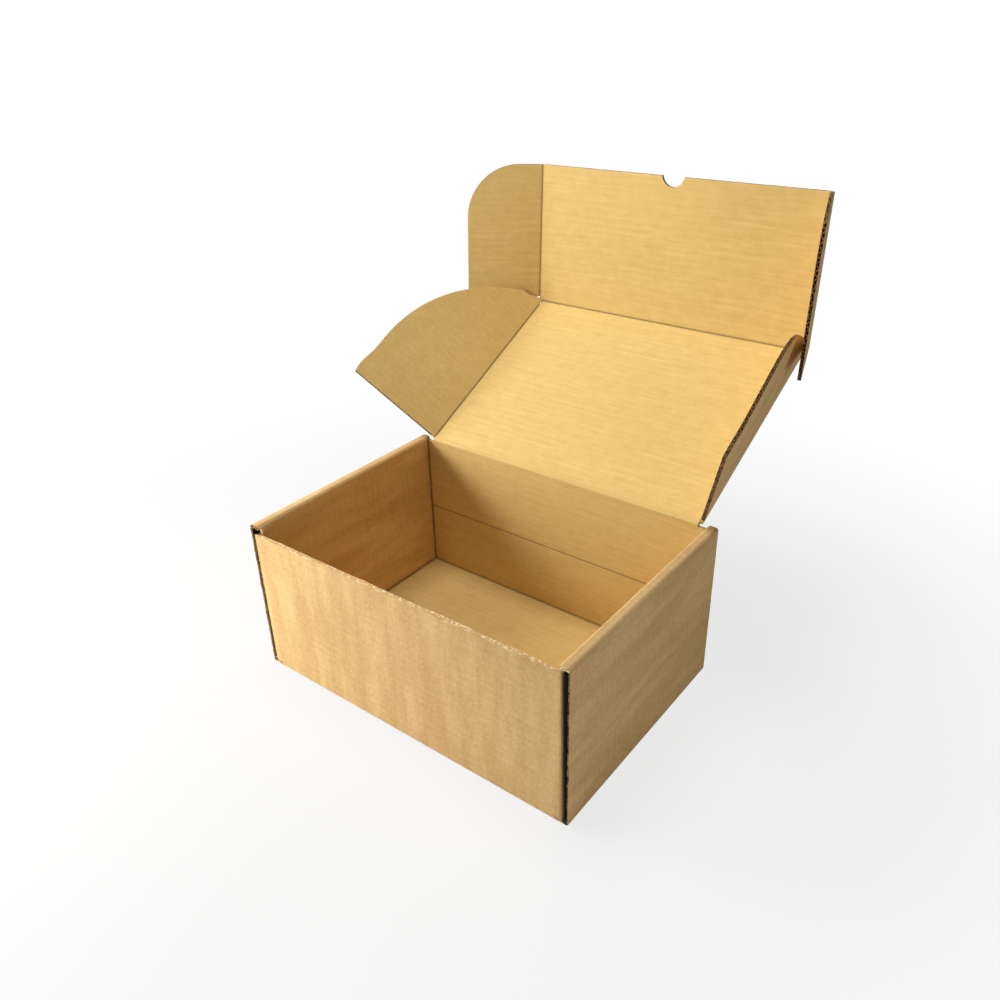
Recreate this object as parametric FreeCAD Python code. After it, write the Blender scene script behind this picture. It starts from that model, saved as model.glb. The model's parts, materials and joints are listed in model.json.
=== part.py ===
import FreeCAD, Part
import math
import os

os.makedirs("parts", exist_ok=True)

# Corrugated mailer box, cut from one sheet of brown single-wall board and folded, lid open.
# Millimetres and degrees. +X runs along the hinge, +Y from the front wall to the back wall,
# +Z is up, and the origin is the middle of the face that the box stands on.

# Outer size of the folded tray
length = 300.0
width = 203.0
height = 136.5

# The board: a wavy medium between two flat liners
board = 2.8
liner = 0.4
medium = 0.35
flute_pitch = 6.5
flute_crest = 1.3
flute_depth = 7.0

# Clearances between folded plies, panels and moving flaps
ply_gap = 0.15
fold_gap = 0.3
lid_clearance = 0.35
tuck_clearance = 0.5
sector_margin = 1.0

# Folds of the tray
fold_radius = 2.4
corner_radius = 4.8
corner_clearance = 1.2
roll_radius = 2.5
cut_corner = 1.0

# Tray walls. The front wall's cut top edge runs down a little to the left.
front_drop_left = 8.5
front_drop_right = 5.5
front_corner_flap = 92.0
back_corner_flap = 88.0
score_height = 64.5
score_width = 2.4
score_depth = 0.45

# Tabs of the rolled walls and their slots in the bottom
tab_length = 46.0
tab_spacing = 104.0
tab_clearance = 0.3
tab_recess = 0.3

# Hollow edges, where the board is cut along its flutes and only the outer liner reaches the end
edge_hollow_depth = 6.0

# Lid side flaps
flap_width = 94.0
flap_rear_start = 2.0
flap_straight_end = 52.0
flap_front_width = 20.0
flap_front_gap = 5.5

# Tuck flap and its ears
tuck_bottom_gap = 0.7
notch_radius = 11.0
notch_depth = 9.0
ear_width = 72.0
ear_top_radius = 50.0
ear_start = 4.0
ear_droop = 8.0
ear_corner_radius = 6.0

# Fold angles at rest. The lid is 0 when closed, every other fold is 0 when flat.
lid_angle = 153.8
tuck_angle = 61.1
# A flap that stands twisted is folded further at its front end.
flap_left_angle = 47.0
flap_left_twist = 0.0
flap_right_angle = 72.0
flap_right_twist = 8.0
ear_left_angle = 39.0
ear_right_angle = 74.0

# The lid swings between these angles, and the other folds move evenly with it. The angles
# below are the ones they reach where the lid is lowest.
lid_open_limit = 180.0
lid_low_angle = 48.0
tuck_low_angle = 90.0
flap_left_low_angle = 115.0
flap_right_low_angle = 101.5
ear_low_angle = 90.0

# Lines that the parts share
half_length = length / 2
half_width = width / 2
wall_stack = 3 * board + 2 * ply_gap
inner_half_length = half_length - wall_stack
inner_half_width = half_width - board
ply_outer_face = half_length - board - ply_gap
hinge_y = half_width - board / 2
hinge_z = height - board / 2
back_top = hinge_z - board / 2 - fold_gap
fold_reach = board + fold_gap / 2
ear_fold_x = inner_half_length - lid_clearance - fold_reach
flap_fold_x = ear_fold_x - board - 2 * fold_gap
wall_end = inner_half_width - corner_clearance
lid_length = hinge_y + inner_half_width - tuck_clearance - fold_reach
inner_fold_z = height - board - fold_gap / 2
tuck_length = inner_fold_z - board - tuck_bottom_gap

X_AXIS = FreeCAD.Vector(1, 0, 0)
Y_AXIS = FreeCAD.Vector(0, 1, 0)


def point(x, y, z=0.0):
    return FreeCAD.Vector(x, y, z)


def block(x_range, y_range, z_range):
    """A box between two values on each axis."""
    x0, x1 = sorted(x_range)
    y0, y1 = sorted(y_range)
    z0, z1 = sorted(z_range)
    return Part.makeBox(x1 - x0, y1 - y0, z1 - z0, point(x0, y0, z0))


def line(start, end):
    return Part.LineSegment(start, end).toShape()


def arc(start, middle, end):
    return Part.Arc(start, middle, end).toShape()


def prism(edges, sweep):
    """A closed outline of edges, carried along a vector."""
    return Part.Face(Part.Wire(edges)).extrude(sweep)


def polygon_prism(points, sweep):
    """A closed outline of straight sides, carried along a vector."""
    return Part.Face(Part.makePolygon(points + points[:1])).extrude(sweep)


def mirror_x(shape):
    return shape.mirror(point(0, 0, 0), X_AXIS)


def mirror_y(shape):
    return shape.mirror(point(0, 0, 0), Y_AXIS)


def fuse(shapes):
    """One solid from several that touch, with the seams between flush faces removed."""
    return shapes[0].multiFuse(shapes[1:]).removeSplitter()


def turned(shape, centre, axis, angle):
    copy = shape.copy()
    copy.rotate(centre, axis, angle)
    return copy


def flute_cell_sections():
    """Half widths of one open cell at its liner and at the crest of the medium."""
    wide = flute_pitch / 2 - flute_crest / 2 - 0.7 * medium
    narrow = flute_crest / 2 - 0.3 * medium
    return wide, narrow


def flute_cells(first, last, place):
    """Open cells of the flutes along a cut edge, alternately against the two liners.

    place(centre, along, across, depth) gives a point of the cell that is centred so far along
    the edge: its offset along the edge, across the board from its middle, and into the board
    from outside the edge.
    """
    wide, narrow = flute_cell_sections()
    top = board / 2 - liner
    crest = top - medium
    cells = []
    count = int((last - first) / flute_pitch * 2) - 1
    start = (first + last - (count - 1) * flute_pitch / 2) / 2
    for index in range(count):
        centre = start + index * flute_pitch / 2
        side = 1 if index % 2 else -1
        corners = [(-wide, top), (wide, top), (narrow, -crest), (-narrow, -crest)]
        outline = [place(centre, along, side * across, 0) for along, across in corners]
        sweep = place(centre, 0, 0, 1) - place(centre, 0, 0, 0)
        cells.append(polygon_prism(outline, sweep))
    return cells


def bottom_panel():
    """The bottom, rounded at its four folds and at its corners."""
    plate = block((-half_length, half_length), (-half_width, half_width), (0, board))
    upright = [e for e in plate.Edges if abs(e.tangentAt(e.FirstParameter).z) > 0.9]
    plate = plate.makeFillet(cut_corner, upright)
    lowest = [e for e in plate.Edges if e.BoundBox.ZMax < 0.001]
    return plate.makeFillet(fold_radius, lowest)


def rolled_wall():
    """The right end wall: up outside, over the top and down inside, open for the corner flaps."""
    outer = half_length
    inner = inner_half_length
    top = height
    low = board + fold_gap
    r = roll_radius
    bend = r * (1 - math.sqrt(0.5))
    y = -half_width
    seat = board - cut_corner / 2
    edges = [
        line(point(outer, y, seat), point(outer, y, top - r)),
        arc(point(outer, y, top - r), point(outer - bend, y, top - bend), point(outer - r, y, top)),
        line(point(outer - r, y, top), point(inner + r, y, top)),
        arc(point(inner + r, y, top), point(inner + bend, y, top - bend), point(inner, y, top - r)),
        line(point(inner, y, top - r), point(inner, y, low)),
        line(point(inner, y, low), point(inner + board, y, low)),
        line(point(inner + board, y, low), point(inner + board, y, top - board)),
        line(point(inner + board, y, top - board), point(outer - board, y, top - board)),
        line(point(outer - board, y, top - board), point(outer - board, y, seat)),
        line(point(outer - board, y, seat), point(outer, y, seat)),
    ]
    wall = prism(edges, point(0, width, 0))
    clear_front = block((inner - 1, outer - board), (-half_width - 1, -wall_end), (0, back_top))
    clear_back = mirror_y(clear_front)
    wall = wall.cut(clear_front).cut(clear_back)
    tabs = [rolled_wall_tab(side * tab_spacing / 2) for side in (-1, 1)]
    return fuse([wall] + tabs)


def rolled_wall_tab(centre):
    """A tab that reaches from the inner ply down through the bottom."""
    ends = (centre - tab_length / 2, centre + tab_length / 2)
    return block((inner_half_length, inner_half_length + board), ends, (tab_recess, 2 * board))


def tab_slot(centre):
    half = tab_length / 2 + tab_clearance
    x_range = (inner_half_length - tab_clearance, inner_half_length + board + tab_clearance)
    return block(x_range, (centre - half, centre + half), (-1, board + fold_gap))


def tab_flutes(centre):
    """Flute ends on a tab, seen from below the box."""
    middle = inner_half_length + board / 2

    def place(cell, along, across, depth):
        return point(middle + across, cell + along, tab_recess - 1 + depth * (flute_depth + 1))

    return flute_cells(centre - tab_length / 2 + 1, centre + tab_length / 2 - 1, place)


def folded_end(flap_length, top):
    """A front or back wall seen from above: the panel and the two corner flaps behind it."""
    outer = ply_outer_face
    inner = ply_outer_face - board
    r = corner_radius
    r_in = corner_radius - board
    bend = r * (1 - math.sqrt(0.5))
    bend_in = r_in * (1 - math.sqrt(0.5))
    y = -half_width
    y_in = y + board
    edges = [
        line(point(-outer + r, y), point(outer - r, y)),
        arc(point(outer - r, y), point(outer - bend, y + bend), point(outer, y + r)),
        line(point(outer, y + r), point(outer, y + flap_length)),
        line(point(outer, y + flap_length), point(inner, y + flap_length)),
        line(point(inner, y + flap_length), point(inner, y_in + r_in)),
        arc(
            point(inner, y_in + r_in),
            point(inner - bend_in, y_in + bend_in),
            point(inner - r_in, y_in),
        ),
        line(point(inner - r_in, y_in), point(-inner + r_in, y_in)),
        arc(
            point(-inner + r_in, y_in),
            point(-inner + bend_in, y_in + bend_in),
            point(-inner, y_in + r_in),
        ),
        line(point(-inner, y_in + r_in), point(-inner, y + flap_length)),
        line(point(-inner, y + flap_length), point(-outer, y + flap_length)),
        line(point(-outer, y + flap_length), point(-outer, y + r)),
        arc(point(-outer, y + r), point(-outer + bend, y + bend), point(-outer + r, y)),
    ]
    lift = board + fold_gap
    wall = prism(edges, point(0, 0, top - lift))
    wall.translate(point(0, 0, lift))
    foot = block((-outer + r, outer - r), (y, y_in), (board - cut_corner / 2, lift))
    return fuse([wall, foot])


def front_wall():
    """The front wall, cut off along a line that runs down to the left."""
    wall = folded_end(front_corner_flap, height - front_drop_right)
    outline = [
        point(-half_length, -half_width - 1, height - front_drop_left),
        point(half_length, -half_width - 1, height - front_drop_right),
        point(half_length, -half_width - 1, height),
        point(-half_length, -half_width - 1, height),
    ]
    return wall.cut(polygon_prism(outline, point(0, width, 0)))


def score_line():
    """The crease pressed across the inner face of the back wall, a shallow V."""
    y = inner_half_width
    x = -inner_half_length + fold_gap
    outline = [
        point(x, y - 0.1, score_height - score_width / 2),
        point(x, y - 0.1, score_height + score_width / 2),
        point(x, y + score_depth, score_height),
    ]
    return polygon_prism(outline, point(-2 * x, 0, 0))


def rolled_wall_hollows():
    """Open front and back ends of the right end wall's outer ply, cut along a flute."""
    x_range = (half_length - board, half_length - liner)
    cuts = []
    for side in (-1, 1):
        y_range = (side * (half_width - edge_hollow_depth), side * (half_width + 1))
        cuts.append(block(x_range, y_range, (2 * board, height - board)))
    return cuts


def make_tray():
    front = front_wall()
    back = mirror_y(folded_end(back_corner_flap, back_top))
    right = rolled_wall()
    left = mirror_x(right)
    centres = [side * tab_spacing / 2 for side in (-1, 1)]
    slots = [tab_slot(centre) for centre in centres]
    bottom = bottom_panel().cut(Part.makeCompound(slots + [mirror_x(slot) for slot in slots]))
    tray = fuse([bottom, front, back, right, left])
    cuts = rolled_wall_hollows()
    for centre in centres:
        cuts += tab_flutes(centre)
    cuts += [mirror_x(cut) for cut in cuts]
    return tray.cut(Part.makeCompound(cuts + [score_line()]))


# The lid and its flaps are laid out flat, as they are cut, in the plane of the closed lid.
# A point of the blank lies u from the hinge towards the front. The inner face is below.
lid_low = height - board
front_edge_u = lid_length + tuck_length


def blank(u, x, z=lid_low):
    return point(x, hinge_y - u, z)


def fold_round(axis_point, along, start, sweep_angle):
    """The rounded outer edge of a fold, a sector of the board about the fold's axis."""
    up = point(0, 0, board)
    edge = Part.Face(Part.makePolygon([start, start + up, start + up + along, start + along, start]))
    return edge.revolve(axis_point, along, sweep_angle)


def least_angle(rest_angle, low_angle):
    """The smallest angle that a fold reaches, with the lid flat back."""
    rate = (low_angle - rest_angle) / (lid_angle - lid_low_angle)
    return rest_angle - rate * (lid_open_limit - lid_angle)


def side_round(fold_x, side, u_range, sector, twist=0.0):
    """The rounded edge of a flap or an ear, whose fold runs from front to back."""
    u0, u1 = u_range
    start = blank(u1, side * (fold_x + fold_gap / 2))
    axis_point = point(side * fold_x, 0, inner_fold_z)
    rounded = fold_round(axis_point, point(0, u1 - u0, 0), start, -side * (sector + twist))
    return turned(rounded, axis_point, Y_AXIS, side * twist)


def make_lid_panel():
    x = flap_fold_x - fold_gap / 2
    end = lid_length - fold_gap / 2
    panel = block((-x, x), (hinge_y, hinge_y - end), (lid_low, height))
    knuckle = Part.makeCylinder(board / 2, 2 * x, point(-x, hinge_y, hinge_z), X_AXIS)
    return fuse([panel, knuckle])


def make_tuck_flap():
    x = ear_fold_x - fold_gap / 2
    start = lid_length + fold_gap / 2
    panel = block((-x, x), (hinge_y - start, hinge_y - front_edge_u), (lid_low, height))
    axis_point = point(0, hinge_y - lid_length, inner_fold_z)
    sector = least_angle(tuck_angle, tuck_low_angle) - sector_margin
    rounded = fold_round(axis_point, point(2 * x, 0, 0), blank(start, -x), -sector)
    centre = blank(front_edge_u + notch_radius - notch_depth, 0, lid_low - 1)
    notch = Part.makeCylinder(notch_radius, board + 2, centre)
    return fuse([panel, rounded]).cut(notch)


def flap_reach(u):
    """How far a lid side flap reaches from its fold, at a distance u from the hinge.

    It is straight at the back, and an arc that starts square to the fold leads to the front.
    """
    run = max(0.0, u - flap_straight_end)
    full_run = lid_length - flap_front_gap - flap_straight_end
    drop = flap_width - flap_front_width
    radius = (full_run ** 2 + drop ** 2) / (2 * drop)
    return flap_width - radius + math.sqrt(radius ** 2 - run ** 2)


def flap_turn(u, twist):
    """How much further than at its rear end a twisted flap is folded, at a distance u.

    The turn grows with the square of the distance, so it is mostly near the front.
    """
    share = (u - flap_rear_start) / (lid_length - flap_front_gap - flap_rear_start)
    return twist * share ** 2


def ear_reach(u):
    """How far an ear reaches from its fold, at a distance u from the hinge."""
    bend_start = front_edge_u - ear_top_radius
    if u > bend_start:
        run = u - bend_start
        return ear_width - ear_top_radius + math.sqrt(ear_top_radius ** 2 - run ** 2)
    return ear_width


def edge_flutes(u_range, fold_x, reach, side):
    """Flute ends along the free edge of a flap or an ear, which reaches so far at each u."""
    middle = height - board / 2

    def place(cell, along, across, depth):
        x = fold_x + reach(cell) + 1 - depth * (flute_depth + 1)
        return blank(cell + along, side * x, middle + across)

    return flute_cells(u_range[0], u_range[1], place)


def flap_section(u, side, twist):
    """A lid side flap cut across at u: a strip of board, turned about the fold."""
    root = side * (flap_fold_x + fold_gap / 2)
    tip = side * (flap_fold_x + flap_reach(u))
    corners = [blank(u, root), blank(u, root, height), blank(u, tip, height), blank(u, tip)]
    strip = Part.makePolygon(corners + corners[:1])
    return turned(strip, flap_axis_point(side), Y_AXIS, side * flap_turn(u, twist))


def flap_axis_point(side):
    return point(side * flap_fold_x, 0, inner_fold_z)


def make_lid_flap(side, rest_angle, low_angle, twist):
    """A side flap of the lid, unfolded: straight at the back and rounded to the front."""
    front_u = lid_length - flap_front_gap
    steps = 10
    bend_us = [flap_straight_end + (front_u - flap_straight_end) * i / steps for i in range(steps + 1)]
    stations = [flap_rear_start, (flap_rear_start + flap_straight_end) / 2] + bend_us
    panel = Part.makeLoft([flap_section(u, side, twist) for u in stations], True, False)
    sector = least_angle(rest_angle, low_angle) - sector_margin
    rounded = side_round(flap_fold_x, side, (flap_rear_start, front_u), sector, twist)
    cells = edge_flutes((flap_rear_start, front_u), flap_fold_x, flap_reach, side)
    cells = [
        turned(cell, flap_axis_point(side), Y_AXIS, side * flap_turn(hinge_y - cell.CenterOfMass.y, twist))
        for cell in cells
    ]
    return fuse([panel, rounded]).cut(Part.makeCompound(cells))


def make_ear(side, rest_angle, low_angle):
    """An ear of the tuck flap, flat: its upper outer corner is a wide round."""
    root = side * (ear_fold_x + fold_gap / 2)
    tip = side * (ear_fold_x + ear_width)
    r = ear_top_radius
    bend = r * math.sqrt(0.5)
    low = lid_length + ear_start
    droop = low - ear_droop
    corner = ear_corner_radius
    turn = corner * (1 - math.sqrt(0.5))
    top = front_edge_u
    edges = [
        line(blank(top, root), blank(top, tip - side * r)),
        arc(
            blank(top, tip - side * r),
            blank(top - r + bend, tip - side * (r - bend)),
            blank(top - r, tip),
        ),
        line(blank(top - r, tip), blank(droop + corner, tip)),
        arc(
            blank(droop + corner, tip),
            blank(droop + turn, tip - side * turn),
            blank(droop, tip - side * corner),
        ),
        line(blank(droop, tip - side * corner), blank(low, root)),
        line(blank(low, root), blank(top, root)),
    ]
    panel = prism(edges, point(0, 0, board))
    sector = least_angle(rest_angle, low_angle) - sector_margin
    rounded = side_round(ear_fold_x, side, (low, top), sector)
    cells = edge_flutes((droop + corner, top - r / 4), ear_fold_x, ear_reach, side)
    return fuse([panel, rounded]).cut(Part.makeCompound(cells))


def fold_flap(shape, side, angle):
    return turned(shape, flap_axis_point(side), Y_AXIS, side * angle)


def fold_ear(shape, side, angle):
    return turned(shape, point(side * ear_fold_x, 0, inner_fold_z), Y_AXIS, side * angle)


def fold_tuck(shape, angle):
    return turned(shape, point(0, hinge_y - lid_length, inner_fold_z), X_AXIS, angle)


def open_lid(shape, angle):
    return turned(shape, point(0, hinge_y, hinge_z), X_AXIS, -angle)


def make_parts():
    """Every piece of the box at its place, folded as the box stands with its lid open."""
    flap_left = make_lid_flap(-1, flap_left_angle, flap_left_low_angle, flap_left_twist)
    flap_right = make_lid_flap(1, flap_right_angle, flap_right_low_angle, flap_right_twist)
    ear_left = fold_ear(make_ear(-1, ear_left_angle, ear_low_angle), -1, ear_left_angle)
    ear_right = fold_ear(make_ear(1, ear_right_angle, ear_low_angle), 1, ear_right_angle)
    return {
        "tray": make_tray(),
        "lid_panel": open_lid(make_lid_panel(), lid_angle),
        "tuck_flap": open_lid(fold_tuck(make_tuck_flap(), tuck_angle), lid_angle),
        "tuck_ear_left": open_lid(fold_tuck(ear_left, tuck_angle), lid_angle),
        "tuck_ear_right": open_lid(fold_tuck(ear_right, tuck_angle), lid_angle),
        "lid_flap_left": open_lid(fold_flap(flap_left, -1, flap_left_angle), lid_angle),
        "lid_flap_right": open_lid(fold_flap(flap_right, 1, flap_right_angle), lid_angle),
    }


parts = make_parts()
for name, shape in parts.items():
    print(name, "solids", len(shape.Solids), "valid", shape.isValid(), "volume", round(shape.Volume))
    shape.exportStep("parts/" + name + ".step")
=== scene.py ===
import json
import math

import bmesh
import bpy
import numpy as np
from mathutils import Matrix, Vector

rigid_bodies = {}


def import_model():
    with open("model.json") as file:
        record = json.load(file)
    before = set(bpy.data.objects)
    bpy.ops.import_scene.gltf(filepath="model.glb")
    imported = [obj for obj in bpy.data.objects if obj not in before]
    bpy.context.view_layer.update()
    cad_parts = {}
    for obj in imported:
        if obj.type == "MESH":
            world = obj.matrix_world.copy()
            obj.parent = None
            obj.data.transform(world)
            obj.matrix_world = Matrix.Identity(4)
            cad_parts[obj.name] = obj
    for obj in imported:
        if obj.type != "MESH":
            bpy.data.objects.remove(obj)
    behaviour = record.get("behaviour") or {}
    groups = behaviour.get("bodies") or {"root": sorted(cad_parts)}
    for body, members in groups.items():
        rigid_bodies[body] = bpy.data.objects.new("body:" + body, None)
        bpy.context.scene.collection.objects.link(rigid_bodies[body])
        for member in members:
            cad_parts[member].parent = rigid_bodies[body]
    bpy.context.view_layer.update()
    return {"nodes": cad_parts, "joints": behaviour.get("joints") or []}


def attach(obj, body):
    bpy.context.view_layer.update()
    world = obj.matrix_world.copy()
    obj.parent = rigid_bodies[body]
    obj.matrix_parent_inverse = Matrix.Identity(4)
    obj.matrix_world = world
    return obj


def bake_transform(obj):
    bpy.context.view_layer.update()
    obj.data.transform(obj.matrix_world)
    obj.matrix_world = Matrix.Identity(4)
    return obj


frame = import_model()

# Sizes of the box in millimetres, as the frame has them. HINGE is the y and z of the lid's axis.
MM = 0.001
BOARD = 2.8
LINER = 0.4
FLUTE_PITCH = 6.5
HEIGHT = 136.5
HALF_LENGTH = 150.0
HALF_WIDTH = 101.5
INNER_HALF_LENGTH = 141.3
INNER_HALF_WIDTH = 98.7
CORNER_FLAP_X = 147.05
FRONT_TOP_LEFT = 128.0
FRONT_TOP_RIGHT = 131.0
SCORE_HEIGHT = 64.5
FLAP_FOLD_X = 134.6
HALF_FOLD_GAP = 0.15
LID_ANGLE = 153.8
LID_LENGTH = 195.35
FLAP_LEFT_ANGLE = 47.0
HINGE = np.array([100.1, 135.1])

# How far from each kind of fold the pressed line and its painted shade reach, in mm, and its darkest
# middle
CREASE_MIDDLE = 0.4
LID_CREASE = 1.6
SCORE_CREASE = 1.2
WALL_CREASE = 2.2
SIDE_CREASE = 2.6

# Torn borders: the step between points in mm, and how far they wander, as (every so many mm, by)
TORN_STEP = 0.7
TOP_RUNS = [(23.0, 0.55), (6.0, 0.22), (1.7, 0.12)]
CORNER_RUNS = [(9.0, 0.3), (2.8, 0.2), (1.1, 0.15)]
SLOT_RUNS = [(16.0, 0.4), (4.0, 0.25), (1.4, 0.15)]
FOLD_RUNS = [(30.0, 0.25)]

# Kraft colours, as they look in plain light, with two painted shades: the flute hollows of cut edges and
# the corner slots
OUTER_PALE = "#E6C285"
OUTER_DEEP = "#CBA067"
INNER_PALE = "#E4C47E"
INNER_DEEP = "#D5B26A"
# Painted shade: the dark of the hollow flute ends in a cut edge
FLUTE_HOLLOW_SHADE = "#2C1F13"
EDGE_BROWN = "#8C6A40"
# Painted shade: the dark laid into the slots at the upright corners
PAINTED_SLOT_SHADE = "#33271B"
TORN_PALE = "#F0D8A6"
TORN_BROWN = "#A08663"
FLOOR_PAINT = "#D2D0CC"
WHITE = "#FFFFFF"

# The view of the photograph: where the lens points, in mm, and from which side, in degrees
VIEW_AZIMUTH = 38.24
VIEW_ELEVATION = 29.08
VIEW_ROLL = -1.60
VIEW_DISTANCE = 884.59
VIEW_TARGET = Vector((-97.91, 149.53, 60.0))
FOCAL_LENGTH_PX = 898.21
IMAGE_PX = 1000
SENSOR_MM = 36.0

# Studio, in metres and watts: each lamp's name, place, width and power
LAMP_TARGET = Vector((0, 0.05, 0.15))
LAMPS = [
    ("front_lamp", (-0.46, -0.46, 0.25), 0.28, 3.3),
    ("left_lamp", (-0.95, -0.38, 0.72), 0.35, 6.9),
    ("top_lamp", (-0.20, 0.05, 1.30), 0.50, 7.6),
    ("right_lamp", (1.00, -0.25, 0.08), 0.22, 1.9),
]
SKY_LIGHT = 0.125
SKY_TINT = (0.80, 0.93, 1.12, 1)
FLOOR_REACH = 12.0
FLOOR_FADE = {"From Min": 0.22, "From Max": 0.7, "To Min": 0.78, "To Max": 1.0}


# Small tools for materials

def linear(code):
    """An sRGB hex colour as linear red, green, blue and alpha."""
    parts = np.array([int(code[i:i + 2], 16) for i in (1, 3, 5)]) / 255
    low = parts / 12.92
    high = ((parts + 0.055) / 1.055) ** 2.4
    return (*np.where(parts <= 0.04045, low, high), 1.0)


def add(tree, kind, inputs=None, output=0, **settings):
    """Add one node with its settings, fill its sockets with values or links, and return an output."""
    made = tree.nodes.new(kind)
    for key, value in settings.items():
        setattr(made, key, value)
    for socket, value in (inputs or {}).items():
        if isinstance(value, bpy.types.NodeSocket):
            tree.links.new(value, made.inputs[socket])
        else:
            made.inputs[socket].default_value = value
    return made.outputs[output]


def new_material(name):
    """An empty node material and its tree."""
    material = bpy.data.materials.new(name)
    material.use_nodes = True
    material.node_tree.nodes.clear()
    return material, material.node_tree


def finish_material(tree, shader):
    """Send a shader to the material's output."""
    output = tree.nodes.new("ShaderNodeOutputMaterial")
    tree.links.new(shader, output.inputs["Surface"])


def set_material(piece, material):
    """Give a piece one material and no other."""
    piece.data.materials.clear()
    piece.data.materials.append(material)


def joined(tree, shares, operation):
    """Shares joined one after another: their product holds where all do, their maximum where any does."""
    total = shares[0]
    for share in shares[1:]:
        total = add(tree, "ShaderNodeMath", {0: total, 1: share}, operation=operation)
    return total


def stretched_noise(tree, sheet, scale, detail=3.0, roughness=0.55, distortion=0.0):
    """Noise on the sheet with its own number of waves per mm along, across and through the board."""
    at = add(tree, "ShaderNodeVectorMath", {0: sheet, 1: scale}, operation="MULTIPLY")
    return add(
        tree, "ShaderNodeTexNoise",
        {"Vector": at, "Scale": 1.0, "Detail": detail, "Roughness": roughness, "Distortion": distortion},
    )


def crease_mask(tree, place, lines):
    """Soft lines along folds; where they darken a colour, that is painted shade in the fold's valley, on
    pressed liner.

    Each line has a start, a direction of length 1 and a width. The distance of a point from it is
    the length of the cross product of the direction and the way from the start to the point.
    """
    masks = []
    for start, direction, width in lines:
        offset = add(tree, "ShaderNodeVectorMath", {0: place, 1: tuple(start)}, operation="SUBTRACT")
        crossed = add(
            tree, "ShaderNodeVectorMath", {0: offset, 1: tuple(direction)}, operation="CROSS_PRODUCT"
        )
        distance = add(tree, "ShaderNodeVectorMath", {0: crossed}, output=1, operation="LENGTH")
        fall = {"From Min": CREASE_MIDDLE, "From Max": width, "To Min": 1.0, "To Max": 0.0}
        masks.append(add(tree, "ShaderNodeMapRange", {"Value": distance, **fall}))
    return joined(tree, masks, "MAXIMUM")


# Kraft board

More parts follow.
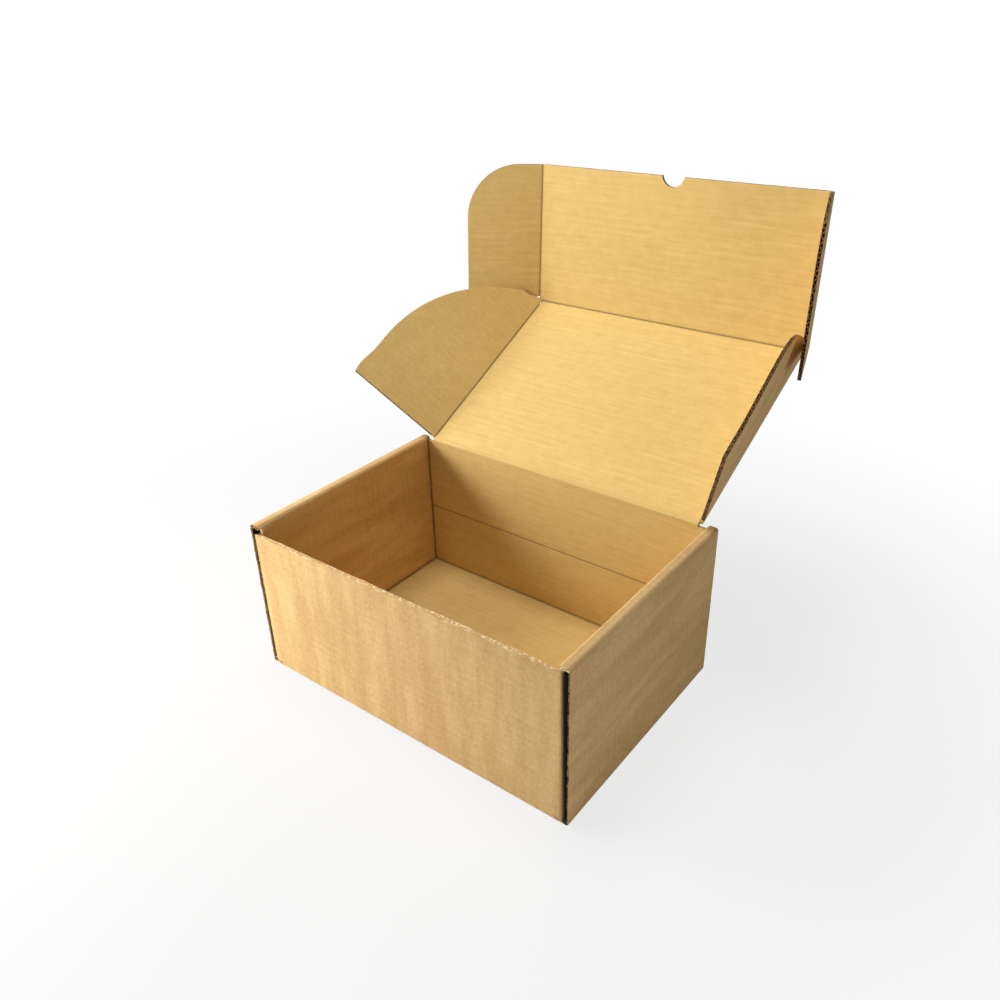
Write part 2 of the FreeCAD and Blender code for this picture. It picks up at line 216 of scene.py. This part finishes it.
def finish_board(tree, sheet, inner, edge, crease, slot_shade=0.0, edge_pale=0.0):
    """The look of kraft board, from sheet coordinates in mm (x along the flutes, y across them).

    Unbleached kraft liner, pressed from long pulp fibres and left uncoated: matt, with no clear
    highlight, a cloudy mottle of denser pulp, and fine fibres that catch a side light. inner, edge,
    crease, the corner-slot share and edge_pale are shares from 0 to 1 that say which of them shows.
    The crease share paints shade into a fold's valley over its pressed liner, the slot share paints
    the shade of the deep corner slots, and a cut edge's dark flute ends are painted shade of hollows.
    """
    # Washboard: the inner liner sinks a little between flute tips, in broken lines
    wobble = stretched_noise(tree, sheet, (0.02, 0.05, 0.05), detail=2.0)
    across = add(tree, "ShaderNodeSeparateXYZ", {0: sheet}, output=1)
    shifted = add(tree, "ShaderNodeMath", {0: wobble, 1: 4.0, 2: across}, operation="MULTIPLY_ADD")
    turns_per_mm = 2 * math.pi / FLUTE_PITCH
    phase = add(tree, "ShaderNodeMath", {0: shifted, 1: turns_per_mm}, operation="MULTIPLY")
    wave = add(tree, "ShaderNodeMath", {0: phase}, operation="SINE")
    patches = stretched_noise(tree, sheet, (0.02, 0.12, 0.1))
    patchy = add(tree, "ShaderNodeMapRange", {"Value": patches, "From Min": 0.42, "From Max": 0.68})
    washboard = joined(tree, [wave, patchy], "MULTIPLY")

    # Dashes of the inner liner, 1 to 2 mm thick and a few cm long, along the flutes
    dashes = stretched_noise(tree, sheet, (0.03, 0.55, 0.3), detail=3.0, roughness=0.6)
    # Washes of the outer liner run with its grain, across the flutes
    washes = stretched_noise(tree, sheet, (0.06, 0.010, 0.05), detail=2.0)
    # Clouds of denser pulp about 10 mm wide, and a mottle of about 5 mm on the outer liner
    clouds = stretched_noise(tree, sheet, (0.09, 0.09, 0.09), detail=4.0, roughness=0.6)
    mottle = stretched_noise(
        tree, sheet, (0.24, 0.16, 0.2), detail=4.0, roughness=0.65, distortion=1.6
    )
    # Fibres are far finer in life, and are drawn 1.5 mm long so that they show
    fibres = stretched_noise(
        tree, sheet, (0.75, 0.55, 0.6), detail=3.0, roughness=0.6, distortion=1.2
    )

    tones = []
    for broad, low, high, fine, fine_low, fine_high, deep, pale in (
        (washes, 0.36, 0.64, mottle, 0.34, 0.66, OUTER_DEEP, OUTER_PALE),
        (dashes, 0.3, 0.7, clouds, 0.3, 0.7, INNER_DEEP, INNER_PALE),
    ):
        broad_share = add(
            tree, "ShaderNodeMapRange",
            {"Value": broad, "From Min": low, "From Max": high, "To Max": 0.55},
        )
        fine_share = add(
            tree, "ShaderNodeMapRange",
            {"Value": fine, "From Min": fine_low, "From Max": fine_high, "To Max": 0.45},
        )
        share = joined(tree, [broad_share, fine_share], "ADD")
        tones.append(add(
            tree, "ShaderNodeMix", {0: share, 6: linear(deep), 7: linear(pale)},
            output=2, data_type="RGBA",
        ))
    liner = add(
        tree, "ShaderNodeMix", {0: inner, 6: tones[0], 7: tones[1]}, output=2, data_type="RGBA"
    )

    # Fibres shade the outer liner by 9 % either way and the inner liner by 4 %
    fibre_reach = add(tree, "ShaderNodeMath", {0: inner, 1: -0.05, 2: 0.09}, operation="MULTIPLY_ADD")
    fibre_wave = add(
        tree, "ShaderNodeMapRange",
        {"Value": fibres, "From Min": 0.3, "From Max": 0.7, "To Min": -1.0, "To Max": 1.0},
    )
    fibre_shade = add(
        tree, "ShaderNodeMath", {0: fibre_wave, 1: fibre_reach, 2: 1.0}, operation="MULTIPLY_ADD"
    )
    wash_shade = add(tree, "ShaderNodeMath", {0: washboard, 1: 0.04, 2: 1.0}, operation="MULTIPLY_ADD")
    # Creases darken the colour by up to 42 %: painted shade in the fold's valley, on liner pressed there
    crease_painted_shade = add(tree, "ShaderNodeMath", {0: crease, 1: -0.42, 2: 1.0}, operation="MULTIPLY_ADD")
    shade = joined(tree, [fibre_shade, wash_shade, crease_painted_shade], "MULTIPLY")
    toned = add(tree, "ShaderNodeVectorMath", {0: liner, "Scale": shade}, operation="SCALE")

    # A cut edge shows its flute ends dark, which is painted shade of their hollows, with brown liner and
    # medium between them, or torn pale fibre
    ends = stretched_noise(tree, sheet, (0.5, 0.5, 0.9), detail=2.0)
    cut_faces = []
    for low, high, deep, pale in (
        (0.42, 0.6, FLUTE_HOLLOW_SHADE, EDGE_BROWN),
        (0.5, 0.62, OUTER_DEEP, TORN_PALE),
    ):
        share = add(tree, "ShaderNodeMapRange", {"Value": ends, "From Min": low, "From Max": high})
        cut_faces.append(add(
            tree, "ShaderNodeMix", {0: share, 6: linear(deep), 7: linear(pale)},
            output=2, data_type="RGBA",
        ))
    colour = toned
    cut = add(
        tree, "ShaderNodeMix", {0: edge_pale, 6: cut_faces[0], 7: cut_faces[1]},
        output=2, data_type="RGBA",
    )
    # Cut edges take their colours, and the corner slots a dark colour that is painted shade
    for share, over in ((edge, cut), (slot_shade, linear(PAINTED_SLOT_SHADE))):
        colour = add(
            tree, "ShaderNodeMix", {0: share, 6: colour, 7: over}, output=2, data_type="RGBA"
        )

    height = add(tree, "ShaderNodeMath", {0: washboard, 1: 0.06, 2: fibres}, operation="MULTIPLY_ADD")
    height = add(tree, "ShaderNodeMath", {0: crease, 1: -0.8, 2: height}, operation="MULTIPLY_ADD")
    bump = add(tree, "ShaderNodeBump", {"Height": height, "Distance": 0.00015, "Strength": 0.5})
    shader = add(
        tree, "ShaderNodeBsdfPrincipled",
        {"Base Color": colour, "Roughness": 0.85, "Specular IOR Level": 0.25, "Normal": bump},
    )
    finish_material(tree, shader)


def panel_frame(node, inner_hint, fold_axis):
    """Origin and axes of a flat panel: along its flutes, across them, and towards its inner face.

    The normal is that of the largest polygon, turned to the inner side. The origin is the mean of
    the corners, moved along the normal to halfway between the two liners' planes.
    """
    mesh = frame["nodes"][node].data
    normals = np.zeros(len(mesh.polygons) * 3)
    areas = np.zeros(len(mesh.polygons))
    mesh.polygons.foreach_get("normal", normals)
    mesh.polygons.foreach_get("area", areas)
    normals = normals.reshape(-1, 3)
    normal = normals[np.argmax(areas)]
    normal = normal * np.sign(normal @ np.array(inner_hint))
    points = np.zeros(len(mesh.vertices) * 3)
    mesh.vertices.foreach_get("co", points)
    points = points.reshape(-1, 3)
    first_corners = points[np.array([polygon.vertices[0] for polygon in mesh.polygons])]
    on_liner = (np.abs(normals @ normal) > 0.999) & (areas > 0)
    plane_heights = first_corners[on_liner] @ normal
    middle = (plane_heights.min() + plane_heights.max()) / 2
    centre = points.mean(0)
    centre = centre + (middle - centre @ normal) * normal
    across = np.array(fold_axis) - np.dot(fold_axis, normal) * normal
    across = across / np.linalg.norm(across)
    along = np.cross(across, normal)
    return centre, along, across, normal


def panel_board(name, node, inner_hint, fold_axis, folds):
    """Kraft board of one flat panel. The way a face looks tells inner liner, outer liner and edge."""
    centre, along, across, normal = panel_frame(node, inner_hint, fold_axis)
    material, tree = new_material(name)
    turn = Matrix((along, across, normal)).transposed().to_euler()
    place = add(tree, "ShaderNodeTexCoord", output="Object")
    sheet = add(
        tree, "ShaderNodeMapping",
        {"Vector": place, "Location": tuple(centre), "Rotation": turn, "Scale": (MM, MM, MM)},
        vector_type="TEXTURE",
    )
    facing_way = add(tree, "ShaderNodeTexCoord", output="Normal")
    facing = add(
        tree, "ShaderNodeVectorMath", {0: facing_way, 1: tuple(normal)},
        output=1, operation="DOT_PRODUCT",
    )
    inner = add(tree, "ShaderNodeMath", {0: facing, 1: 0.0}, operation="GREATER_THAN")
    steepness = add(tree, "ShaderNodeMath", {0: facing}, operation="ABSOLUTE")
    edge = add(tree, "ShaderNodeMath", {0: steepness, 1: 0.35}, operation="LESS_THAN")
    at = add(tree, "ShaderNodeVectorMath", {0: place, "Scale": 1 / MM}, operation="SCALE")
    lines = [(np.array(start) / MM, axis) for start, axis in folds]
    # On the inner face by each fold the crease share paints shade into the fold's valley
    near_fold = crease_mask(tree, at, [(*line, LID_CREASE) for line in lines])
    crease = joined(tree, [near_fold, inner], "MULTIPLY")
    # The rounded back of a fold is liner, not a cut edge
    over_fold = crease_mask(tree, at, [(*line, BOARD + 1) for line in lines])
    free = add(tree, "ShaderNodeMath", {0: over_fold, 1: 0.01}, operation="LESS_THAN")
    finish_board(tree, sheet, inner, joined(tree, [edge, free], "MULTIPLY"), crease)
    return material


def tray_board(name):
    """Kraft board of the tray, whose walls face all ways.

    The sheet coordinates are the object's own, in mm, turned for walls that face x or y. Limits on
    a point's place and facing tell the inner liner, the cut edges and the slots apart.
    """
    material, tree = new_material(name)
    place = add(tree, "ShaderNodeTexCoord", output="Object")
    at = add(tree, "ShaderNodeVectorMath", {0: place, "Scale": 1 / MM}, operation="SCALE")
    facing_way = add(tree, "ShaderNodeTexCoord", output="Normal")
    x, y, z = [add(tree, "ShaderNodeSeparateXYZ", {0: at}, output=axis) for axis in range(3)]
    facing = [add(tree, "ShaderNodeSeparateXYZ", {0: facing_way}, output=axis) for axis in range(3)]
    sizes = [add(tree, "ShaderNodeMath", {0: part}, operation="ABSOLUTE") for part in facing]
    side, end, flat = [
        add(tree, "ShaderNodeMath", {0: size, 1: 0.7}, operation="GREATER_THAN") for size in sizes
    ]
    sheet = add(tree, "ShaderNodeCombineXYZ", {0: x, 1: y, 2: z})
    for facing_so, order in ((side, (z, y, x)), (end, (x, z, y))):
        turned = add(tree, "ShaderNodeCombineXYZ", dict(enumerate(order)))
        sheet = add(
            tree, "ShaderNodeMix", {0: facing_so, 4: sheet, 5: turned}, output=1, data_type="VECTOR"
        )
    far_x = add(tree, "ShaderNodeMath", {0: x}, operation="ABSOLUTE")
    far_y = add(tree, "ShaderNodeMath", {0: y}, operation="ABSOLUTE")

    # Where a point lies, in mm. The small numbers keep faces that lie on a limit on one side of it.
    limits = {
        "between the side walls": (far_x, "LESS_THAN", INNER_HALF_LENGTH - 0.05),
        "in the side walls": (far_x, "GREATER_THAN", INNER_HALF_LENGTH - 0.05),
        "in the outer ply": (far_x, "GREATER_THAN", CORNER_FLAP_X),
        "inside the outer liner": (far_x, "LESS_THAN", HALF_LENGTH - LINER + 0.05),
        "right half": (x, "GREATER_THAN", 0.0),
        "left half": (x, "LESS_THAN", 0.0),
        "between front and back": (far_y, "LESS_THAN", INNER_HALF_WIDTH + 0.6),
        "in front or back": (far_y, "GREATER_THAN", INNER_HALF_WIDTH - 0.1),
        "near an upright corner": (far_y, "GREATER_THAN", HALF_WIDTH - 9.0),
        "front face": (y, "LESS_THAN", 1.2 - HALF_WIDTH),
        "over the bottom": (z, "GREATER_THAN", BOARD - 0.2),
        "over the foot of the slot": (z, "GREATER_THAN", BOARD - 0.4),
        "over the front wall's low end": (z, "GREATER_THAN", FRONT_TOP_LEFT - 1.0),
        "under the front wall's high end": (z, "LESS_THAN", FRONT_TOP_RIGHT + 0.5),
        "in the top strip": (z, "GREATER_THAN", HEIGHT - BOARD - 0.1),
        "under the top strip": (z, "LESS_THAN", HEIGHT - BOARD + 0.05),
    }
    holds = {
        name: add(tree, "ShaderNodeMath", {0: value, 1: limit}, operation=test)
        for name, (value, test, limit) in limits.items()
    }

    not_side = add(tree, "ShaderNodeMath", {0: 1.0, 1: side}, operation="SUBTRACT")
    inside = ("between the side walls", "between front and back", "over the bottom")
    inner = joined(tree, [*(holds[name] for name in inside), not_side], "MULTIPLY")

    # Cut edges: the ends of the rolled walls, and the top of the front wall
    wall_end = joined(tree, [holds["in the side walls"], end], "MULTIPLY")
    strip_end = joined(tree, [wall_end, holds["in the top strip"]], "MULTIPLY")
    ply_end = joined(tree, [wall_end, holds["in the outer ply"]], "MULTIPLY")
    at_top = ("in front or back", "under the front wall's high end", "over the front wall's low end")
    wall_top = joined(tree, [*(holds[name] for name in at_top), flat], "MULTIPLY")
    edge = joined(tree, [ply_end, wall_top, strip_end], "MAXIMUM")
    pale_end = joined(tree, [strip_end, holds["right half"]], "MULTIPLY")
    edge_pale = joined(tree, [wall_top, pale_end], "MAXIMUM")

    # The slot at each upright corner gets painted shade: a dark colour laid over the folded end's
    # rounding and the hollow up to the side's liner, where shade falls in the deep slot. It widens
    # upwards by 1.6 mm. At the front left the wall's fold bulges out and all but closes it, so no shade
    # is painted there.
    widening = add(tree, "ShaderNodeMath", {0: z, 1: 1.6 / HEIGHT, 2: far_x}, operation="MULTIPLY_ADD")
    past_fold = add(
        tree, "ShaderNodeMapRange",
        {"Value": widening, "From Min": CORNER_FLAP_X - 2.6, "From Max": CORNER_FLAP_X - 0.6},
    )
    bulge = joined(tree, [holds["left half"], holds["front face"]], "MULTIPLY")
    open_slot = add(tree, "ShaderNodeMath", {0: 1.0, 1: bulge}, operation="SUBTRACT")
    in_slot = (
        "inside the outer liner", "near an upright corner",
        "under the top strip", "over the foot of the slot",
    )
    slot = joined(tree, [open_slot, past_fold, *(holds[name] for name in in_slot)], "MULTIPLY")

    # Painted shade along the back wall's score line and in the tray's inner corners, on pressed liner
    pressed = [
        ((0, INNER_HALF_WIDTH, SCORE_HEIGHT), (1, 0, 0), SCORE_CREASE),
        ((0, INNER_HALF_WIDTH, BOARD), (1, 0, 0), WALL_CREASE),
        ((0, -INNER_HALF_WIDTH, BOARD), (1, 0, 0), WALL_CREASE),
        ((-INNER_HALF_LENGTH, 0, BOARD), (0, 1, 0), SIDE_CREASE),
        ((INNER_HALF_LENGTH, 0, BOARD), (0, 1, 0), SIDE_CREASE),
        ((-INNER_HALF_LENGTH, INNER_HALF_WIDTH, 0), (0, 0, 1), WALL_CREASE),
        ((INNER_HALF_LENGTH, INNER_HALF_WIDTH, 0), (0, 0, 1), WALL_CREASE),
    ]
    finish_board(tree, sheet, inner, edge, crease_mask(tree, at, pressed), slot, edge_pale)
    return material


def torn_liner(name, pale, deep):
    """Torn kraft liner: its fibres stand up, so it is fully matt and flecked paler than the board."""
    material, tree = new_material(name)
    place = add(tree, "ShaderNodeTexCoord", output="Object")
    sheet = add(tree, "ShaderNodeVectorMath", {0: place, "Scale": 1 / MM}, operation="SCALE")
    flecks = stretched_noise(tree, sheet, (0.16, 0.4, 0.4), detail=3.0, roughness=0.65)
    fibres = stretched_noise(tree, sheet, (1.2, 1.2, 1.2), detail=2.0)
    share = add(tree, "ShaderNodeMapRange", {"Value": flecks, "From Min": 0.47, "From Max": 0.6})
    colour = add(
        tree, "ShaderNodeMix", {0: share, 6: linear(deep), 7: linear(pale)},
        output=2, data_type="RGBA",
    )
    bump = add(tree, "ShaderNodeBump", {"Height": fibres, "Distance": 0.0002, "Strength": 0.6})
    shader = add(
        tree, "ShaderNodeBsdfPrincipled",
        {"Base Color": colour, "Roughness": 0.9, "Specular IOR Level": 0.2, "Normal": bump},
    )
    finish_material(tree, shader)
    return material


def dress_board():
    """Give each panel of the box its board, with its creases on the folds that it shares."""
    fold_axes = {joint["child"]: joint["axis"] for joint in frame["joints"]}
    # Roughly the way that each panel's inner face looks
    inner_ways = {
        "lid_panel": (0, -0.4, 1),
        "tuck_flap": (0, -1, 0),
        "tuck_ear_left": (0.6, -0.8, 0),
        "tuck_ear_right": (-0.97, -0.2, 0),
        "lid_flap_left": (0.7, -0.3, 0.6),
        "lid_flap_right": (-0.98, 0, 0.1),
    }
    # The flutes of these two run along the box, and those of the others follow from their own fold
    along_the_box = {"lid_panel": "lid", "tuck_flap": "tuck"}
    for node, way in inner_ways.items():
        body = along_the_box.get(node, node)
        axis = fold_axes[body]
        if node in along_the_box:
            axis = tuple(np.cross(way, (1, 0, 0)))
        folds = [
            (joint["pos_m"], joint["axis"])
            for joint in frame["joints"]
            if body in (joint["parent"], joint["child"]) and joint["name"] != "lid_hinge"
        ]
        material = panel_board("kraft_board_" + node, node, way, axis, folds)
        set_material(frame["nodes"][node], material)
    set_material(frame["nodes"]["tray"], tray_board("kraft_board_tray"))


# Thin pieces over the solids: torn borders, a bulging fold, the crease's liner, a crushed corner

def carried_rings(name, rings, material):
    """A closed skin over rings of points, in mm: sides between neighbouring rings, and two ends."""
    steps, count = rings.shape[:2]
    index = np.arange(steps * count).reshape(steps, count)
    after = np.roll(index, -1, axis=1)
    sides = np.stack([index[:-1], index[1:], after[1:], after[:-1]], axis=-1).reshape(-1, 4)
    faces = sides.tolist() + [index[0, ::-1].tolist(), index[-1].tolist()]
    mesh = bpy.data.meshes.new(name)
    mesh.from_pydata((rings.reshape(-1, 3) * MM).tolist(), [], faces)
    shell = bmesh.new()
    shell.from_mesh(mesh)
    bmesh.ops.recalc_face_normals(shell, faces=shell.faces)
    shell.to_mesh(mesh)
    shell.free()
    piece = bpy.data.objects.new(name, mesh)
    bpy.context.scene.collection.objects.link(piece)
    set_material(piece, material)
    return piece


def torn_outline(length, seed, runs):
    """Places along an edge and a torn height there: random values every so many mm, joined and added."""
    random = np.random.default_rng(seed)
    along = np.linspace(0, length, int(length / TORN_STEP) + 1)
    height = np.zeros_like(along)
    for spacing, size in runs:
        knots = np.arange(0, length + spacing, spacing)
        height += np.interp(along, knots, random.uniform(-size, size, len(knots)))
    return along, height


def torn_strip(name, start, end, up, out, rise, thickness, seed, runs, lean, material):
    """A thin strip of liner along an edge, whose upper border is torn.

    A four-cornered section goes from start to end. Its foot stays on the edge, its upper border
    stands rise plus the torn height above it, and it leans out by lean times another torn outline.
    The border is thinner than the foot.
    """
    start, end, up, out = (np.array(v, float) for v in (start, end, up, out))
    length = np.linalg.norm(end - start)
    along, height = torn_outline(length, seed, runs)
    sway = torn_outline(length, seed + 1, runs)[1] * lean
    foot = start + np.outer(along / length, end - start)
    border = foot + np.outer(rise + height, up) + np.outer(sway, out)
    inward = -thickness * out
    border_share = 0.6
    rings = np.stack([foot, border, border + inward * border_share, foot + inward], axis=1)
    piece = carried_rings(name, rings, material)
    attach(piece, "tray")


def add_torn_edges():
    """Torn liner on the front wall's cut top, on the upright corners and in the front right slot."""
    pale = torn_liner("torn_liner_pale", TORN_PALE, OUTER_DEEP)
    # Its dark flecks take the colour of the painted flute-hollow shade
    brown = torn_liner("torn_liner_brown", TORN_BROWN, FLUTE_HOLLOW_SHADE)

    reach = INNER_HALF_LENGTH - 0.4
    sunk = 0.8
    slope = (FRONT_TOP_RIGHT - FRONT_TOP_LEFT) / (2 * HALF_LENGTH)
    low_end, high_end = (
        FRONT_TOP_LEFT + slope * (x + HALF_LENGTH) - sunk for x in (-reach, reach)
    )
    for name, y, out, seed in (
        ("front_edge_torn_outside", -HALF_WIDTH, (0, -1, 0), 3),
        ("front_edge_torn_inside", -INNER_HALF_WIDTH, (0, 1, 0), 11),
    ):
        start = (-reach, y, low_end)
        end = (reach, y, high_end)
        torn_strip(name, start, end, (0, 0, 1), out, sunk + 0.1, 0.6, seed, TOP_RUNS, 0.35, pale)

    # The front left fold bulges towards the side wall, more so at the top
    face = -HALF_WIDTH + 0.45
    start = (-CORNER_FLAP_X + 4.6, face, BOARD + 0.6)
    end = (-CORNER_FLAP_X + 3.9, face, FRONT_TOP_LEFT - 0.3)
    board = frame["nodes"]["tray"].data.materials[0]
    torn_strip(
        "front_left_fold", start, end, (-0.996, 0.09, 0), (0, -1, 0),
        6.5, 0.48, 41, FOLD_RUNS, 0.2, board,
    )

    low = 2 * BOARD
    high = HEIGHT - BOARD - 0.4
    for number, (sx, sy) in enumerate(((-1, -1), (1, -1), (-1, 1), (1, 1))):
        foot = (sx * (HALF_LENGTH - 0.02), sy * (HALF_WIDTH - 0.9))
        name = "corner_torn_" + ("front" if sy < 0 else "back") + ("_left" if sx < 0 else "_right")
        torn_strip(
            name, (*foot, low), (*foot, high), (0, sy, 0), (sx, 0, 0),
            0.9, LINER, 21 + number, CORNER_RUNS, 0.25, brown,
        )

    foot = (HALF_LENGTH - LINER + 0.1, -HALF_WIDTH + 0.4)
    torn_strip(
        "slot_torn_front_right", (*foot, 3 * BOARD), (*foot, high), (-1, 0, 0), (0, -1, 0),
        0.9, 0.3, 53, SLOT_RUNS, 0.3, brown,
    )


def add_hinge_liner():
    """The inner liner over the lid's fold, from the back wall round the knuckle to the lid.

    Its path runs up the wall's face, round the hinge axis just outside the board's half thickness,
    and on along the open lid. A second path behind it closes the band.
    """
    opening = math.radians(180 - LID_ANGLE)
    wall_way = np.array([0, 1.0])
    lid_way = np.array([math.cos(opening), math.sin(opening)])
    turns = np.linspace(math.pi, math.pi / 2 + opening, 9)
    spokes = np.stack([np.cos(turns), np.sin(turns)], axis=1)
    on_wall = 4.0
    on_lid = 3.0
    paths = []
    for radius in (BOARD / 2 + 0.12, BOARD / 2 + 0.02):
        bend = HINGE + radius * spokes
        foot = bend[0] - wall_way * on_wall
        tip = bend[-1] + lid_way * on_lid
        paths.append(np.concatenate([[foot], bend, [tip]]))
    front, back = paths

    material, tree = new_material("kraft_liner_over_the_hinge")
    place = add(tree, "ShaderNodeTexCoord", output="Object")
    sheet = add(tree, "ShaderNodeVectorMath", {0: place, "Scale": 1 / MM}, operation="SCALE")
    # The crease share darkens the band by 5 % all over: painted shade of the fold, on pressed liner
    finish_board(tree, sheet, inner=1.0, edge=0.0, crease=0.12)

    profile = np.concatenate([front, back[::-1]])
    reach = FLAP_FOLD_X - 0.3
    xs = np.linspace(-reach, reach, 60)
    rings = np.empty((len(xs), len(profile), 3))
    rings[:, :, 0] = xs[:, None]
    rings[:, :, 1:] = profile
    band = carried_rings("hinge_liner", rings, material)
    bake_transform(band)


def add_flap_corner():
    """The crushed front corner of the left flap, which fills the notch beside the tuck flap's fold.

    It is worked out on the flat lid, u from the hinge and w from the flap's fold. Its front border
    falls back with the square of w. Then it is folded by the flap's angle about y and opened by
    the lid's angle about x.
    """
    w = np.linspace(0.25, 13.0, 14)
    fall = 5.6
    front = LID_LENGTH + 0.7 - fall * (w / w[-1]) ** 2
    rear = np.full_like(w, LID_LENGTH - 6.0)
    inner_face = HEIGHT - BOARD
    low, high = inner_face + 0.02, inner_face + 1.1
    rings = np.stack(
        [
            np.stack([-FLAP_FOLD_X - w, HINGE[0] - u, np.full_like(w, z)], axis=1)
            for u, z in ((rear, low), (front, low), (front, high), (rear, high))
        ],
        axis=1,
    )
    fold_axis = np.array([-FLAP_FOLD_X, 0, inner_face - HALF_FOLD_GAP])
    hinge_axis = np.array([0, *HINGE])
    for axis, angle, way in ((fold_axis, FLAP_LEFT_ANGLE, "Y"), (hinge_axis, LID_ANGLE, "X")):
        turn = np.array(Matrix.Rotation(math.radians(-angle), 3, way))
        rings = (rings - axis) @ turn.T + axis
    material = frame["nodes"]["lid_flap_left"].data.materials[0]
    piece = carried_rings("flap_corner_left", rings, material)
    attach(piece, "lid_flap_left")


# The studio

def add_camera():
    """The lens at the photograph's angle: back points from the target to it, and roll turns it."""
    azimuth = math.radians(VIEW_AZIMUTH)
    elevation = math.radians(VIEW_ELEVATION)
    roll = math.radians(VIEW_ROLL)
    back = Vector((
        math.sin(azimuth) * math.cos(elevation),
        -math.cos(azimuth) * math.cos(elevation),
        math.sin(elevation),
    ))
    level = (-back).cross(Vector((0, 0, 1))).normalized()
    upright = level.cross(-back)
    right = level * math.cos(roll) + upright * math.sin(roll)
    up = upright * math.cos(roll) - level * math.sin(roll)
    lens = bpy.data.cameras.new("view_lens")
    lens.sensor_width = SENSOR_MM
    lens.lens = FOCAL_LENGTH_PX / IMAGE_PX * SENSOR_MM
    camera = bpy.data.objects.new("view_camera", lens)
    place = (VIEW_TARGET + back * VIEW_DISTANCE) * MM
    camera.matrix_world = Matrix((
        (right.x, up.x, back.x, place.x),
        (right.y, up.y, back.y, place.y),
        (right.z, up.z, back.z, place.z),
        (0, 0, 0, 1),
    ))
    bpy.context.scene.collection.objects.link(camera)
    bpy.context.scene.camera = camera


def add_lamp(name, place, width, watts):
    """A soft white lamp, aimed at the middle of the box and left out of the picture itself."""
    lamp = bpy.data.lights.new(name, "AREA")
    lamp.size = width
    lamp.energy = watts
    piece = bpy.data.objects.new(name, lamp)
    piece.location = place
    piece.rotation_euler = (Vector(place) - LAMP_TARGET).to_track_quat("Z", "Y").to_euler()
    piece.visible_camera = False
    bpy.context.scene.collection.objects.link(piece)


def plain_view_rays(tree):
    """1 for rays from the lens, and for those it sends on by gloss or glass."""
    path = tree.nodes.new("ShaderNodeLightPath")
    kinds = ("Is Camera Ray", "Is Glossy Ray", "Is Transmission Ray")
    return joined(tree, [path.outputs[kind] for kind in kinds], "MAXIMUM")


def add_floor():
    """A wide pale floor that shows white, keeps the box's soft shadow, and fades out to plain white."""
    mesh = bpy.data.meshes.new("floor")
    corners = np.array([(-1, -1, 0), (1, -1, 0), (1, 1, 0), (-1, 1, 0)]) * FLOOR_REACH
    mesh.from_pydata(corners.tolist(), [], [(0, 1, 2, 3)])
    floor = bpy.data.objects.new("floor", mesh)
    bpy.context.scene.collection.objects.link(floor)
    # Matt studio paint: no gloss, so that only the soft shadow shows on it
    material, tree = new_material("pale_studio_floor")
    place = add(tree, "ShaderNodeTexCoord", output="Object")
    far = add(tree, "ShaderNodeVectorMath", {0: place}, output=1, operation="LENGTH")
    fade = add(
        tree, "ShaderNodeMapRange", {"Value": far, **FLOOR_FADE}, interpolation_type="SMOOTHSTEP"
    )
    share = joined(tree, [plain_view_rays(tree), fade], "MULTIPLY")
    glow = add(tree, "ShaderNodeEmission", {"Color": linear(WHITE), "Strength": 1.0})
    paint = add(tree, "ShaderNodeBsdfDiffuse", {"Color": linear(FLOOR_PAINT)})
    finish_material(tree, add(tree, "ShaderNodeMixShader", {0: share, 1: paint, 2: glow}))
    set_material(floor, material)


def add_sky():
    """A dim cool sky for the box, which the lens itself sees as plain white."""
    world = bpy.data.worlds.new("studio")
    world.use_nodes = True
    tree = world.node_tree
    tree.nodes.clear()
    seen = plain_view_rays(tree)
    strength = add(tree, "ShaderNodeMapRange", {"Value": seen, "To Min": SKY_LIGHT, "To Max": 1.0})
    tint = add(
        tree, "ShaderNodeMix", {0: seen, 6: SKY_TINT, 7: linear(WHITE)}, output=2, data_type="RGBA"
    )
    sky = add(tree, "ShaderNodeBackground", {"Color": tint, "Strength": strength})
    output = tree.nodes.new("ShaderNodeOutputWorld")
    tree.links.new(sky, output.inputs["Surface"])
    bpy.context.scene.world = world


dress_board()
add_torn_edges()
add_hinge_liner()
add_flap_corner()
add_camera()
add_floor()
add_sky()
for lamp_settings in LAMPS:
    add_lamp(*lamp_settings)
bpy.context.scene.view_settings.view_transform = "Standard"
